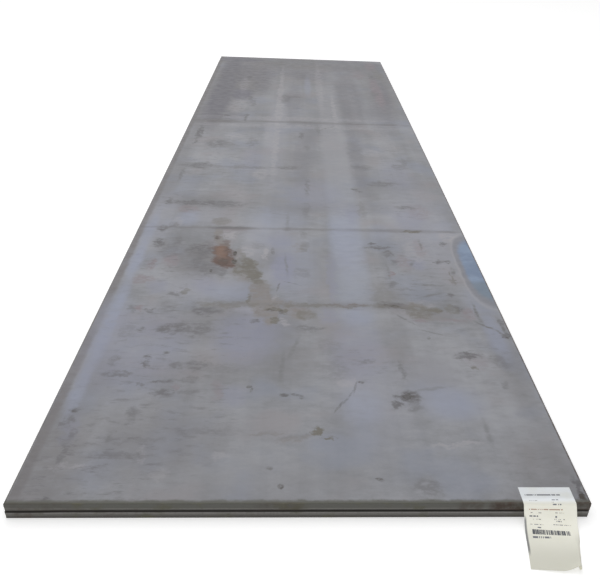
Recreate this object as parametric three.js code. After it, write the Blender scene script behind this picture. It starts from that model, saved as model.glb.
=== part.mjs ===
// Hot-rolled carbon steel plate, 60 x 240 x 1 inch: two plates of one size lying flush in a stack,
// with a paper stock label stuck on the upper one and hanging over its front end onto the floor.
//
// Millimetres. X runs across the plates, Y along them and Z up. The label end faces -Y.
// The origin is the centre of the lower plate's underside.

import * as THREE from "three";

// ---------------------------------------------------------------- driving dimensions

const PLATE = {
  width: 1524,
  length: 6096,
  thickness: 25.4,
  camber: 4, // how far the long sides bow towards +X, both alike, as the strip left the mill
  cornerRadius: 1.5,
};

// A guillotined edge, read down from the top face: the metal is first pulled over in a soft
// roll, then rubbed to a flat burnished land by the blade, and then it breaks, and the broken
// face leans in towards the underside, whose corner is dragged round.
const SHEARED_EDGE = {
  rollRun: 6,
  rollDrop: 2.5,
  landHeight: 7,
  breakLean: 1.2,
  heelRadius: 1.5,
};

const STACK = {
  gap: 0.3, // the mill scale keeps the plates this far apart
  slip: { x: -1, y: 2 }, // how far the lower plate lies out of line with the upper one
};

const LABEL = {
  width: 142,
  length: 269,
  thickness: 0.3,
  glue: 0.1,
  inFromSide: 42, // from the label's right side to the upper plate's right side
  overlap: 62, // the length that lies on the plate
  edgeBend: 10, // inner radius of its bend over the plate's end
  floorBend: 80, // inner radius of its bend onto the floor
  hangAngle: THREE.MathUtils.degToRad(50), // below the horizontal, between the two bends
  swing: THREE.MathUtils.degToRad(-8.6), // how far its free end points towards the plate's centre line
  swingRun: 134, // the stretch, from the plate's end on, over which it swings
  liftOff: 0.2, // the height of its flat side above the floor
};

// The free part of the label has curled as paper does: its right side is rolled under, and the
// corner of its free end on that side has lifted.
const LABEL_CURL = {
  sideRadius: 5,
  sideWidth: 19,
  sideStart: 48, // from the plate's end to where the roll begins
  sideRun: 140, // the stretch over which it closes
  cornerRadius: 35,
  cornerReach: 45, // from the corner, along the diagonal, to where it starts to lift
};

const STEPS = {
  longSide: 25, // odd, so that the middle facet of a long side is square to X
  corner: 3,
  roll: 5,
  heel: 3,
  labelSideRoll: 10,
  labelAcross: 10,
  labelBend: THREE.MathUtils.degToRad(12), // most that one step of the label turns
  labelRun: 9, // most that one step of the label covers
};

// ---------------------------------------------------------------- materials

const steel = {
  upper: new THREE.MeshStandardMaterial({ color: 0x85858b, roughness: 0.55, metalness: 0.6 }),
  lower: new THREE.MeshStandardMaterial({ color: 0x77777a, roughness: 0.6, metalness: 0.6 }),
};
const paper = new THREE.MeshStandardMaterial({ color: 0xdcdcd2, roughness: 0.8, metalness: 0 });

// ---------------------------------------------------------------- plate

// The side of one plate in section, from the underside to the top face, as steps of
// { inset, z }: how far the surface lies in from the plate's outline, at each height.
function edgeSection({ rollRun, rollDrop, landHeight, breakLean, heelRadius }, thickness) {
  const steps = [];
  for (let i = 0; i <= STEPS.heel; i++) {
    const a = (i / STEPS.heel) * (Math.PI / 2);
    steps.push({
      inset: breakLean + heelRadius * (1 - Math.sin(a)),
      z: heelRadius * (1 - Math.cos(a)),
    });
  }
  steps.push({ inset: 0, z: thickness - rollDrop - landHeight });
  for (let i = 0; i <= STEPS.roll; i++) {
    const a = (i / STEPS.roll) * (Math.PI / 2);
    steps.push({
      inset: rollRun * (1 - Math.cos(a)),
      z: thickness - rollDrop * (1 - Math.sin(a)),
    });
  }
  return steps;
}

// The plate's outline in plan, moved in by inset: a rectangle with small round corners, its long
// sides bent into shallow parabolas by the camber. Every inset gives the same number of points.
function planOutline({ width, length, camber, cornerRadius }, inset) {
  const halfWidth = width / 2 - inset;
  const halfLength = length / 2 - inset;
  const radius = Math.max(cornerRadius - inset, cornerRadius / 10);
  const points = [];
  const corner = (sx, sy, from) => {
    for (let i = 0; i <= STEPS.corner; i++) {
      const a = from + (i / STEPS.corner) * (Math.PI / 2);
      points.push(
        new THREE.Vector2(
          sx * (halfWidth - radius) + radius * Math.cos(a),
          sy * (halfLength - radius) + radius * Math.sin(a),
        ),
      );
    }
  };
  const longSide = (sx, sy) => {
    for (let i = 1; i < STEPS.longSide; i++) {
      const y = (1 - (2 * i) / STEPS.longSide) * (halfLength - radius);
      points.push(new THREE.Vector2(sx * halfWidth, sy * y));
    }
  };
  corner(1, 1, 0);
  corner(-1, 1, Math.PI / 2);
  longSide(-1, 1);
  corner(-1, -1, Math.PI);
  corner(1, -1, 1.5 * Math.PI);
  longSide(1, -1);
  for (const p of points) p.x += camber * (1 - (p.y / halfLength) ** 2);
  return points;
}

// A solid lofted through one outline for each step of the edge section, closed by the flat
// underside and the flat top face.
function plateGeometry(plate, edge) {
  const rings = edgeSection(edge, plate.thickness).map(({ inset, z }) => ({
    z,
    outline: planOutline(plate, inset),
  }));
  const count = rings[0].outline.length;
  const positions = rings.flatMap(({ outline, z }) => outline.flatMap((p) => [p.x, p.y, z]));
  const index = [];
  for (let r = 0; r + 1 < rings.length; r++) {
    for (let i = 0; i < count; i++) {
      const a = r * count + i;
      const b = r * count + ((i + 1) % count);
      index.push(a, b, b + count, a, b + count, a + count);
    }
  }
  const top = (rings.length - 1) * count;
  for (const [a, b, c] of THREE.ShapeUtils.triangulateShape(rings[0].outline, [])) {
    index.push(c, b, a);
  }
  for (const [a, b, c] of THREE.ShapeUtils.triangulateShape(rings.at(-1).outline, [])) {
    index.push(top + a, top + b, top + c);
  }
  const geometry = new THREE.BufferGeometry();
  geometry.setAttribute("position", new THREE.Float32BufferAttribute(positions, 3));
  geometry.setIndex(index);
  geometry.computeVertexNormals();
  return geometry;
}

// ---------------------------------------------------------------- label

// The label's path in the YZ plane: flat on the plate, round the plate's end, down at the hang
// angle, round again onto the floor and flat along it. It is a list of stretches, each with its
// length and its radius, which is positive where the label bends down, and 0 on a straight.
function labelStretches(label, drop, bendStart) {
  const { edgeBend, floorBend, hangAngle, length } = label;
  const bends = (edgeBend + floorBend) * (1 - Math.cos(hangAngle));
  const stretches = [
    { length: label.overlap - bendStart, radius: 0 },
    { length: edgeBend * hangAngle, radius: edgeBend },
    { length: (drop - bends) / Math.sin(hangAngle), radius: 0 },
    { length: floorBend * hangAngle, radius: -floorBend },
  ];
  const used = stretches.reduce((sum, s) => sum + s.length, 0);
  return [...stretches, { length: length - used, radius: 0 }];
}

// The point and the upward normal of the path at a distance along it. start is the path's first
// point, as { y, z }, and the path leaves it towards -Y.
function alongPath(stretches, start, distance) {
  let { y, z } = start;
  let angle = 0;
  let left = distance;
  for (const [i, { length, radius }] of stretches.entries()) {
    const last = i === stretches.length - 1;
    const run = last ? left : Math.min(left, length);
    if (radius === 0) {
      y -= run * Math.cos(angle);
      z -= run * Math.sin(angle);
    } else {
      const next = angle + run / radius;
      y -= radius * (Math.sin(next) - Math.sin(angle));
      z -= radius * (Math.cos(angle) - Math.cos(next));
      angle = next;
    }
    left -= run;
    if (left <= 0) break;
  }
  return { y, z, normalY: -Math.sin(angle), normalZ: Math.cos(angle) };
}

// Distances along the label at which it gets a row of vertices: close in the bends, wide between.
function labelRows(stretches) {
  const rows = [0];
  for (const { length, radius } of stretches) {
    const turned = radius === 0 ? 0 : length / Math.abs(radius);
    const steps = Math.ceil(Math.max(turned / STEPS.labelBend, length / STEPS.labelRun));
    const from = rows.at(-1);
    for (let i = 1; i <= steps; i++) rows.push(from + (length * i) / steps);
  }
  return rows;
}

// Distances across the label, from its centre line, at which it gets a column of vertices.
function labelColumns({ width }, { sideWidth }) {
  const columns = [];
  for (let i = 0; i < STEPS.labelAcross; i++) {
    columns.push(-width / 2 + ((width - sideWidth) * i) / STEPS.labelAcross);
  }
  for (let i = STEPS.labelSideRoll; i >= 0; i--) {
    columns.push(width / 2 - (sideWidth * i) / STEPS.labelSideRoll);
  }
  return columns;
}

// Moves a point of the flat label, { across, along, height }, by the curl of its free part.
function curled({ across, along, height }, label, curl) {
  const start = label.overlap + curl.sideStart;
  const free = THREE.MathUtils.smoothstep(along, start, start + curl.sideRun);
  const point = { across, along, height };

  // The right side rolls under, the tighter the further along, and the rest of the label slopes
  // up to the roll from its left side.
  if (free > 0) {
    const rollStart = label.width / 2 - curl.sideWidth;
    const radius = curl.sideRadius / free;
    const rolled = Math.max(across - rollStart, 0) / radius;
    if (rolled > 0) {
      point.across = rollStart + (radius + height) * Math.sin(rolled);
      point.height = (radius + height) * Math.cos(rolled) - radius;
    }
    const rollHeight = radius * (1 - Math.cos(Math.min(curl.sideWidth / radius, Math.PI)));
    const slope = Math.min((across + label.width / 2) / (rollStart + label.width / 2), 1);
    point.height += rollHeight * slope;
  }

  // The far right corner lifts off along a diagonal.
  const outer = point.across - label.width / 2 + along - label.length;
  const reach = outer / Math.SQRT2 + curl.cornerReach;
  if (reach > 0) {
    const lifted = reach / curl.cornerRadius;
    const radius = curl.cornerRadius - point.height;
    const back = (reach - radius * Math.sin(lifted)) / Math.SQRT2;
    point.across -= back;
    point.along -= back;
    point.height += radius * (1 - Math.cos(lifted));
  }
  return point;
}

// Heading and place of the label's centre line at a distance along it, seen square to the paper:
// straight on the plate, then an arc, then straight again.
function swung({ overlap, swing, swingRun }, distance) {
  const arcRadius = swingRun / swing;
  const heading = (swing * THREE.MathUtils.clamp(distance - overlap, 0, swingRun)) / swingRun;
  const after = Math.max(distance - overlap - swingRun, 0);
  return {
    heading,
    x: arcRadius * (1 - Math.cos(heading)) + after * Math.sin(heading),
    along: Math.min(distance, overlap) + arcRadius * Math.sin(heading) + after * Math.cos(heading),
  };
}

// A closed sheet over a grid of places: place(i, j, side) gives the point of column i and row j on
// the upper side, 1, or the lower side, -1. Both sides are split along the same diagonals.
function sheetGeometry(columnCount, rowCount, place) {
  const positions = [];
  for (const side of [1, -1]) {
    for (let j = 0; j < rowCount; j++) {
      for (let i = 0; i < columnCount; i++) positions.push(...place(i, j, side));
    }
  }
  const under = columnCount * rowCount;
  const index = [];
  for (let j = 0; j + 1 < rowCount; j++) {
    for (let i = 0; i + 1 < columnCount; i++) {
      const a = j * columnCount + i;
      const [b, c, d] = [a + columnCount, a + columnCount + 1, a + 1];
      index.push(a, b, c, a, c, d);
      index.push(under + a, under + c, under + b, under + a, under + d, under + c);
    }
  }
  const rim = [];
  for (let j = 0; j + 1 < rowCount; j++) rim.push(j * columnCount);
  for (let i = 0; i + 1 < columnCount; i++) rim.push((rowCount - 1) * columnCount + i);
  for (let j = rowCount - 1; j > 0; j--) rim.push(j * columnCount + columnCount - 1);
  for (let i = columnCount - 1; i > 0; i--) rim.push(i);
  rim.forEach((a, k) => {
    const b = rim[(k + 1) % rim.length];
    index.push(a, under + a, under + b, a, under + b, b);
  });
  const geometry = new THREE.BufferGeometry();
  geometry.setAttribute("position", new THREE.Float32BufferAttribute(positions, 3));
  geometry.setIndex(index);
  geometry.computeVertexNormals();
  return geometry;
}

// A flat sheet of paper, bent: each point is curled, then swung, and then laid along the path.
function labelGeometry(label, curl, plate) {
  const middle = label.thickness / 2;
  const start = { y: plate.end + label.overlap, z: plate.top + label.glue + middle };
  const drop = start.z - (label.liftOff + middle);
  const stretches = labelStretches(label, drop, SHEARED_EDGE.rollRun / 2);
  const centreX = plate.side - label.inFromSide - label.width / 2;
  const rows = labelRows(stretches);
  const columns = labelColumns(label, curl);

  return sheetGeometry(columns.length, rows.length, (i, j, side) => {
    const flat = { across: columns[i], along: rows[j], height: side * middle };
    const { across, along, height } = curled(flat, label, curl);
    const centre = swung(label, along);
    const place = alongPath(stretches, start, centre.along - across * Math.sin(centre.heading));
    return [
      centreX + centre.x + across * Math.cos(centre.heading),
      place.y + height * place.normalY,
      place.z + height * place.normalZ,
    ];
  });
}

// ---------------------------------------------------------------- assembly

function named(name, geometry, material) {
  const mesh = new THREE.Mesh(geometry, material);
  mesh.name = name;
  return mesh;
}

const stack = new THREE.Group();

const lowerPlate = named("lower_plate", plateGeometry(PLATE, SHEARED_EDGE), steel.lower);
stack.add(lowerPlate);

const upperPlate = named("upper_plate", plateGeometry(PLATE, SHEARED_EDGE), steel.upper);
upperPlate.position.set(-STACK.slip.x, -STACK.slip.y, PLATE.thickness + STACK.gap);
stack.add(upperPlate);

const labelled = {
  top: upperPlate.position.z + PLATE.thickness,
  end: upperPlate.position.y - PLATE.length / 2,
  side: upperPlate.position.x + PLATE.width / 2,
};
stack.add(named("stock_label", labelGeometry(LABEL, LABEL_CURL, labelled), paper));

export default stack;
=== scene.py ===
"""Two hot-rolled steel plates lying flush in a stack, with a paper stock label over their front end.

Metres, in the part's own frame: X runs across the plates, Y along them, away from the labelled
end, and Z up, from the centre of the lower plate's underside.
"""

import bpy
import numpy as np
from mathutils import Matrix, Vector


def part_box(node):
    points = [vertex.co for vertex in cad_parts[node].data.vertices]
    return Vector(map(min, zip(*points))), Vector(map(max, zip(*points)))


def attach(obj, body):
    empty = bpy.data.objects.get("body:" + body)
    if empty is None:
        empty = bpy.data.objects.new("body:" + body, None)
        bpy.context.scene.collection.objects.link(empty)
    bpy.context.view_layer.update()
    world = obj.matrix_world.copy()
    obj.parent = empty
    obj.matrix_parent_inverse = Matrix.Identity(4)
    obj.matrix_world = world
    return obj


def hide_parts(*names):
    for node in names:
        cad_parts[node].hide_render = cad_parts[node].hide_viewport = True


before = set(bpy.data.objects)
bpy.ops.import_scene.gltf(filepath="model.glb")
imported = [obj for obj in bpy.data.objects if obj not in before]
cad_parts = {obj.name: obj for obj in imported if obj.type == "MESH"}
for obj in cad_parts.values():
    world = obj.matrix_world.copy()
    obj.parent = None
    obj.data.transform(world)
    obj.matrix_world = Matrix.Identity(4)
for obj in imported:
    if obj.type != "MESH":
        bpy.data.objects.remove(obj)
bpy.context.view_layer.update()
MM = 0.001

# ------------------------------------------------------------------ where the stack is seen from
# A standing person's view from the labelled end, looking down along the plates and a little to
# the right, with the head tilted slightly to the left.

IMAGE_WIDTH = 600
EYE = Vector((-0.0352, -4.5876, 1.4567))
LOOK_RIGHT, LOOK_DOWN, TILT = np.radians([4.037, 26.885, 2.756])
FOCAL_LENGTH = 774.26 / IMAGE_WIDTH  # in widths of the image
OFF_CENTRE = -42.5 / IMAGE_WIDTH

camera = bpy.data.objects.new("camera", bpy.data.cameras.new("camera"))
bpy.context.scene.collection.objects.link(camera)
camera.matrix_world = (
    Matrix.Translation(EYE)
    @ Matrix.Rotation(-LOOK_RIGHT, 4, "Z")
    @ Matrix.Rotation(np.pi / 2 - LOOK_DOWN, 4, "X")
    @ Matrix.Rotation(TILT, 4, "Z")
)
camera.data.lens = FOCAL_LENGTH * camera.data.sensor_width
camera.data.shift_x = OFF_CENTRE
camera.data.clip_end = 100
bpy.context.scene.camera = camera
bpy.context.scene.view_settings.view_transform = "Standard"

# ------------------------------------------------------------------ floor and light
# A plain white studio floor that keeps the shadows, under one broad soft lamp and an even white
# surround. Together they light the top faces so that a colour shows about as it is written.

FLOOR_REACH = 40
FLOOR_WHITE = (0.80, 0.80, 0.80, 1)
FLOOR_LIFT_NEAR, FLOOR_LIFT_FAR = 0.48, 0.60  # added for the camera, so that it shows as white
LIFT_REACH = (2.5, 9.0)  # distances from the middle of the floor between which the lift grows
SURROUND = 0.44
LAMP_POWER = 195
LAMP_SIZE = (6.0, 10.0)
LAMP_PLACE = (-0.8, 0.3, 5.0)


class Recipe:
    """A node tree written line by line: each method adds a node and returns its output."""

    def __init__(self, tree):
        self.tree = tree

    def node(self, kind, sockets=(), output=0, **options):
        """Adds a node. sockets gives each input a value, or the output that feeds it."""
        made = self.tree.nodes.new(kind)
        for name, value in options.items():
            setattr(made, name, value)
        for socket, value in dict(sockets).items():
            self.feed(made.inputs[socket], value)
        return made if output is None else made.outputs[output]

    def feed(self, socket, value):
        if isinstance(value, bpy.types.NodeSocket):
            self.tree.links.new(value, socket)
        else:
            socket.default_value = value

    def maths(self, operation, *values, clamp=False):
        sockets = enumerate(values)
        return self.node("ShaderNodeMath", sockets, operation=operation, use_clamp=clamp)

    def vector(self, operation, *values):
        """The result of a vector operation, which for some is a number."""
        made = self.node("ShaderNodeVectorMath", enumerate(values), None, operation=operation)
        return made.outputs["Value" if operation in ("LENGTH", "DOT_PRODUCT") else "Vector"]

    def ramp(self, value, start, end, low=0.0, high=1.0):
        """Goes smoothly from low, where value is at start, to high, where it is at end."""
        limits = {0: value, 1: start, 2: end, 3: low, 4: high}
        options = {"interpolation_type": "SMOOTHSTEP", "clamp": False}
        return self.node("ShaderNodeMapRange", limits, **options)

    def mix(self, under, over, share):
        """One colour laid over another, as thick as share."""
        sockets = {0: share, 6: under, 7: over}
        return self.node("ShaderNodeMix", sockets, 2, data_type="RGBA")

    def noise(self, place, size, detail=2.0, rough=0.5, output="Fac", flat=False):
        """Cloudy noise from 0 to 1, about size across. Flat noise doesn't change with height."""
        sockets = {"Vector": place, "Scale": 1 / size, "Detail": detail, "Roughness": rough}
        dimensions = "2D" if flat else "3D"
        return self.node("ShaderNodeTexNoise", sockets, output, noise_dimensions=dimensions)

    def white_behind(self):
        """1 for what the camera sees, straight or in a reflection, and 0 for light."""
        rays = self.node("ShaderNodeLightPath", (), None).outputs
        mirrored = self.maths("ADD", rays["Is Glossy Ray"], rays["Is Transmission Ray"])
        return self.maths("ADD", rays["Is Camera Ray"], mirrored, clamp=True)


def new_material(name):
    """A new material, and the recipe of its empty node tree."""
    material = bpy.data.materials.new(name)
    material.use_nodes = True
    material.node_tree.nodes.clear()
    return material, Recipe(material.node_tree)


def new_piece(name, mesh, *materials):
    """Puts a mesh in the scene, where its vertices are."""
    piece = bpy.data.objects.new(name, mesh)
    for material in materials:
        mesh.materials.append(material)
    bpy.context.scene.collection.objects.link(piece)
    return piece


surround = bpy.data.worlds.new("surround")
surround.use_nodes = True
surround.node_tree.nodes.clear()
bpy.context.scene.world = surround
recipe = Recipe(surround.node_tree)
brightness = recipe.ramp(recipe.white_behind(), 0.0, 1.0, SURROUND, 1.0)
sky = recipe.node("ShaderNodeBackground", {"Color": (1, 1, 1, 1), "Strength": brightness})
recipe.node("ShaderNodeOutputWorld", {"Surface": sky}, None)

lamp = bpy.data.objects.new("soft lamp", bpy.data.lights.new("soft lamp", "AREA"))
bpy.context.scene.collection.objects.link(lamp)
lamp.data.shape = "RECTANGLE"
lamp.data.size, lamp.data.size_y = LAMP_SIZE
lamp.data.energy = LAMP_POWER
lamp.location = LAMP_PLACE

floor_finish, recipe = new_material("studio floor")
matt = recipe.node("ShaderNodeBsdfDiffuse", {"Color": FLOOR_WHITE})
from_middle = recipe.vector("LENGTH", recipe.node("ShaderNodeTexCoord", (), "Object"))
lift = recipe.ramp(from_middle, *LIFT_REACH, FLOOR_LIFT_NEAR, FLOOR_LIFT_FAR)
lift = recipe.maths("MULTIPLY", recipe.white_behind(), lift)
glow = recipe.node("ShaderNodeEmission", {"Strength": lift})
whole = recipe.node("ShaderNodeAddShader", {0: matt, 1: glow})
recipe.node("ShaderNodeOutputMaterial", {"Surface": whole}, None)

floor_mesh = bpy.data.meshes.new("floor")
floor_corners = [(-1, -1, 0), (1, -1, 0), (1, 1, 0), (-1, 1, 0)]
floor_mesh.from_pydata(FLOOR_REACH * np.array(floor_corners, float), [], [(0, 1, 2, 3)])
new_piece("floor", floor_mesh, floor_finish)

# ------------------------------------------------------------------ upper plate
# Hot-rolled carbon steel with its mill scale on, a blue-grey oxide skin that the work rolls have
# marked across and storage has stained. It was cut to length and width on a guillotine, and it
# lies flush on the plate below.

CAMBER = 4 * MM  # both long sides bow this far towards +X
CORNER = 1.5 * MM
ROLL_RUN, ROLL_DROP = 6 * MM, 2.5 * MM  # the soft roll of metal that the blade pulled over
LAND = 7 * MM  # the height that the blade rubbed flat, below the roll
BREAK_LEAN = 1.2 * MM  # how far the broken face below the land leans in
HEEL = 1.5 * MM
BREAK_WANDER = 2 * MM  # how far the line between land and break strays downwards
BREAK_WAVES = np.array([90, 37, 16]) * MM
BREAK_RELIEF = 0.5 * MM  # the depth of the broken face's hollows
HOLLOW_WAVES = np.array([60, 23, 11]) * MM
HOLLOW_SLANT = 0.7

SHORT_STEP, LONG_STEP = 3 * MM, 12 * MM
CORNER_STEPS, HEEL_STEPS, BREAK_STEPS, LAND_STEPS, ROLL_STEPS = 4, 4, 8, 3, 8


def plan_outline(width, length):
    """A plate's outline, counterclockwise from the right end of its back, as four arrays.

    side_x and side_y place the centre of a point's corner circle, as shares of the half width and
    half length that the corners leave, and turn_x and turn_y are its direction from that centre.
    """
    runs = []
    for quarter, steps in enumerate([round(width / SHORT_STEP), round(length / LONG_STEP)] * 2):
        middle = (quarter + 0.5) * np.pi / 2
        corner = (quarter + np.linspace(0, 1, CORNER_STEPS + 1)) * np.pi / 2
        turn = np.append(corner, np.full(steps - 1, corner[-1]))
        travel = np.append(0 * corner, 2 * np.arange(1, steps) / steps)
        side_x = np.sign(np.cos(middle)) - travel * np.sin(turn)
        side_y = np.sign(np.sin(middle)) + travel * np.cos(turn)
        runs.append([side_x, side_y, np.cos(turn), np.sin(turn)])
    return np.concatenate(runs, axis=1)


def edge_section(thickness):
    """A sheared edge in section, from the underside up, as four arrays.

    inset and height are a quarter circle at the heel, a straight break that leans out, an upright
    land and a quarter ellipse at the roll. wander and hollow are how far each step takes part in
    the straying of the break's upper line and in the break's hollows.
    """
    heel = np.linspace(0, np.pi / 2, HEEL_STEPS + 1)
    broken = np.linspace(0, 1, BREAK_STEPS + 1)[1:]
    land = np.linspace(0, 1, LAND_STEPS + 1)[1:]
    roll = np.linspace(0, np.pi / 2, ROLL_STEPS + 1)[1:]
    land_foot = thickness - ROLL_DROP - LAND
    inset = [BREAK_LEAN + HEEL * (1 - np.sin(heel)), BREAK_LEAN * (1 - broken), 0 * land,
             ROLL_RUN * (1 - np.cos(roll))]
    height = [HEEL * (1 - np.cos(heel)), HEEL + (land_foot - HEEL) * broken,
              land_foot + LAND * land, thickness - ROLL_DROP * (1 - np.sin(roll))]
    wander = [0 * heel, broken, 1 - land, 0 * roll]
    hollow = [0 * heel, np.sin(np.pi * broken), 0 * land, 0 * roll]
    return [np.concatenate(steps)[:, None] for steps in (inset, height, wander, hollow)]


def waves(distance, around, lengths, chance):
    """A smooth random line from 0 to 1 that meets itself after one turn around the plate: a sum of
    sines of about the given lengths, each as strong as it is long, begun at a random place."""
    total = 0 * distance
    for length in lengths:
        cycles = np.round(around / length) * distance / around
        total += length * np.sin(2 * np.pi * (cycles + chance.random()))
    return 0.5 + 0.5 * total / sum(lengths)


def plate_mesh(name, seed):
    """The plate of a node's box: its outline at each step of the edge section, and two flat faces.

    The outline is moved in by the step's inset, and bowed by CAMBER times one less the square of
    the share of the half length. Hollows only ever go in, so the plate stays in its own outline.
    The flat faces take the first material and the edges the second, which also reads each point's
    height above the underside.
    """
    low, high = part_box(name)
    half_width, half_length = (high.x - low.x - CAMBER) / 2, (high.y - low.y) / 2
    side_x, side_y, turn_x, turn_y = plan_outline(2 * half_width, 2 * half_length)
    inset, height, wander, hollow = edge_section(high.z - low.z)

    around = 4 * (half_width + half_length)
    edges = np.hypot(np.diff(side_x) * half_width, np.diff(side_y) * half_length)
    distance = np.append(0, np.cumsum(edges))[None, :]
    chance = np.random.default_rng(seed)
    line = waves(distance, around, BREAK_WAVES, chance)
    dents = waves(distance + HOLLOW_SLANT * height, around, HOLLOW_WAVES, chance)
    height = height - BREAK_WANDER * wander * line
    inset = inset + BREAK_RELIEF * hollow * dents

    corner = np.maximum(CORNER - inset, CORNER / 10)
    x = side_x * (half_width - inset - corner) + corner * turn_x
    y = side_y * (half_length - inset - corner) + corner * turn_y
    x = x + low.x + half_width + CAMBER * (1 - (y / half_length) ** 2)
    y = y + low.y + half_length
    points = np.stack([x, y, low.z + height], axis=-1)

    ring = np.arange(x.size).reshape(x.shape)
    ahead = np.roll(ring, -1, axis=1)
    sides = np.stack([ring[:-1], ahead[:-1], ahead[1:], ring[1:]], axis=-1).reshape(-1, 4)
    faces = sides.tolist() + [ring[0, ::-1].tolist(), ring[-1].tolist()]
    mesh = bpy.data.meshes.new(name)
    mesh.from_pydata(points.reshape(-1, 3), [], faces)
    on_edge = np.arange(len(faces)) < len(sides)
    mesh.polygons.foreach_set("use_smooth", on_edge)
    mesh.polygons.foreach_set("material_index", on_edge.astype(np.int32))
    level = mesh.attributes.new("height", "FLOAT", "POINT")
    level.data.foreach_set("value", np.broadcast_to(height, x.shape).ravel())
    return mesh


def tint(red, green, blue):
    """A colour given as on a screen, 0 to 255, in the shader's own linear values."""
    share = np.array([red, green, blue]) / 255
    linear = np.where(share > 0.04045, ((share + 0.055) / 1.055) ** 2.4, share / 12.92)
    return *linear.tolist(), 1


def new_group(name, inputs, outputs):
    """A node group's recipe and its incoming sockets. inputs and outputs name each socket's kind."""
    tree = bpy.data.node_groups.new(name, "ShaderNodeTree")
    for direction, sockets in (("INPUT", inputs), ("OUTPUT", outputs)):
        for socket, kind in sockets.items():
            tree.interface.new_socket(socket, in_out=direction, socket_type="NodeSocket" + kind)
    recipe = Recipe(tree)
    return recipe, recipe.node("NodeGroupInput", (), None).outputs


# The oxide skin that every rolled face has: clouds and lengthwise streaks in its tone, cooler and
# warmer areas, scuffs that run across the rolling, and a fine grain that shows close by.
SCALE_DARK, SCALE_PALE = tint(118, 119, 123), tint(154, 155, 160)
SCALE_COOL, SCALE_WARM = tint(130, 136, 152), tint(143, 137, 139)
# Each noise has its size in metres, its detail and, where it isn't the usual, its roughness.
CLOUDS, HUES, GRAIN = (0.40, 3), (0.26, 3), (0.002, 1)
SCUFFS, SCUFF_STRETCH = (0.07, 5, 0.62), (1, 1.8, 1)
STREAKS, STREAK_STRETCH = (0.075, 3, 0.6), (1, 0.03, 1)
CLOUD_SHARE, STREAK_SHARE, SCUFF_SHARE, GRAIN_SHARE = 1.2, 0.45, 1.1, 0.2
TONE_REACH = (0.82, 2.12)  # the sums of the four shares that are darkest and palest
HUE_SHIFT = (7, 3, 0)  # keeps the hues apart from the clouds
COOL_REACH, WARM_REACH, HUE_STRENGTH = (0.50, 0.75), (0.48, 0.27), 0.4
SHEEN_REACH = (0.3, 0.7)  # of the scuffs, for the two roughnesses
SCUFF_RELIEF, GRAIN_RELIEF = 0.6, 0.4
SCALE_ROUGHNESS = (0.46, 0.62)

recipe, given = new_group(
    "mill scale", {"Place": "Vector"}, {"Colour": "Color", "Roughness": "Float", "Height": "Float"}
)
place = given["Place"]
clouds = recipe.noise(place, *CLOUDS, flat=True)
along = recipe.vector("MULTIPLY", place, STREAK_STRETCH)
streaks = recipe.noise(along, *STREAKS, flat=True)
scuffs = recipe.noise(recipe.vector("MULTIPLY", place, SCUFF_STRETCH), *SCUFFS, flat=True)
grain = recipe.noise(place, *GRAIN, flat=True)
tone = recipe.maths("MULTIPLY", streaks, STREAK_SHARE)
for part, share in ((clouds, CLOUD_SHARE), (scuffs, SCUFF_SHARE), (grain, GRAIN_SHARE)):
    tone = recipe.maths("MULTIPLY_ADD", part, share, tone)
skin = recipe.mix(SCALE_DARK, SCALE_PALE, recipe.ramp(tone, *TONE_REACH))
hue = recipe.noise(recipe.vector("ADD", place, HUE_SHIFT), *HUES, flat=True)
skin = recipe.mix(skin, SCALE_COOL, recipe.ramp(hue, *COOL_REACH, 0, HUE_STRENGTH))
skin = recipe.mix(skin, SCALE_WARM, recipe.ramp(hue, *WARM_REACH, 0, HUE_STRENGTH))
sheen = recipe.ramp(scuffs, *SHEEN_REACH, *SCALE_ROUGHNESS)
relief = recipe.maths("MULTIPLY", grain, GRAIN_RELIEF)
relief = recipe.maths("MULTIPLY_ADD", scuffs, SCUFF_RELIEF, relief)
recipe.node("NodeGroupOutput", {"Colour": skin, "Roughness": sheen, "Height": relief}, None)
mill_scale = recipe.tree

RELIEF_DEPTH = 0.25 * MM
STEEL_SPECULAR, STEEL_METALLIC = 0.2, 0.25


def steel_shader(recipe, colour, roughness, relief):
    """Finishes a steel material: mostly oxide, part metal, with relief from 0 to 1 as bumps."""
    bumps = recipe.node("ShaderNodeBump", {"Height": relief, "Distance": RELIEF_DEPTH})
    sockets = {
        "Base Color": colour, "Roughness": roughness, "Metallic": STEEL_METALLIC,
        "Specular IOR Level": STEEL_SPECULAR, "Normal": bumps,
    }
    steel = recipe.node("ShaderNodeBsdfPrincipled", sockets)
    recipe.node("ShaderNodeOutputMaterial", {"Surface": steel}, None)


def scaled(recipe, place):
    """The mill scale group's outputs at a place."""
    return recipe.node("ShaderNodeGroup", {"Place": place}, None, node_tree=mill_scale).outputs


# The guillotined edge: a soft roll, a rubbed land with upright score marks, a pale line where the
# steel broke, and a duller broken face, all under a thin film of old oil and dust. Painted shade
# darkens the seam between the plates, a little lower near their left ends.
ROLLED_OVER, BREAK_LINE, SEAM_SHADE = tint(89, 89, 83), tint(140, 138, 133), tint(44, 42, 39)
EDGE_RUST, EDGE_OLIVE = tint(86, 74, 64), tint(101, 100, 84)
SIDE_ROLLED_OVER = tint(124, 123, 123)  # cleaner, further along the sides
ROLL_SOILED = (40 * MM, 10 * MM)  # from the labelled end, none to full
SCORE_STRETCH, SCORES = (1, 1, 0.05), (4 * MM, 3, 0.7)
EDGE_RUSTS, FILMS = (0.11, 5, 0.65), (0.06, 4, 0.6)
LINE_BLUR, LINE_STRAY = 1.5 * MM, 4 * MM
END_DIRT, DIRT_WIDTH, DIRT_BLUR = tint(97, 97, 92), 13 * MM, 6 * MM
SEAM_DIP, DIP_REACH = 2 * MM, (170 * MM, 40 * MM)
SEAM_REACH = (6.5 * MM, 2.2 * MM)  # from where it is none to where it is full
LINE_STRENGTH = 0.7
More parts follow.
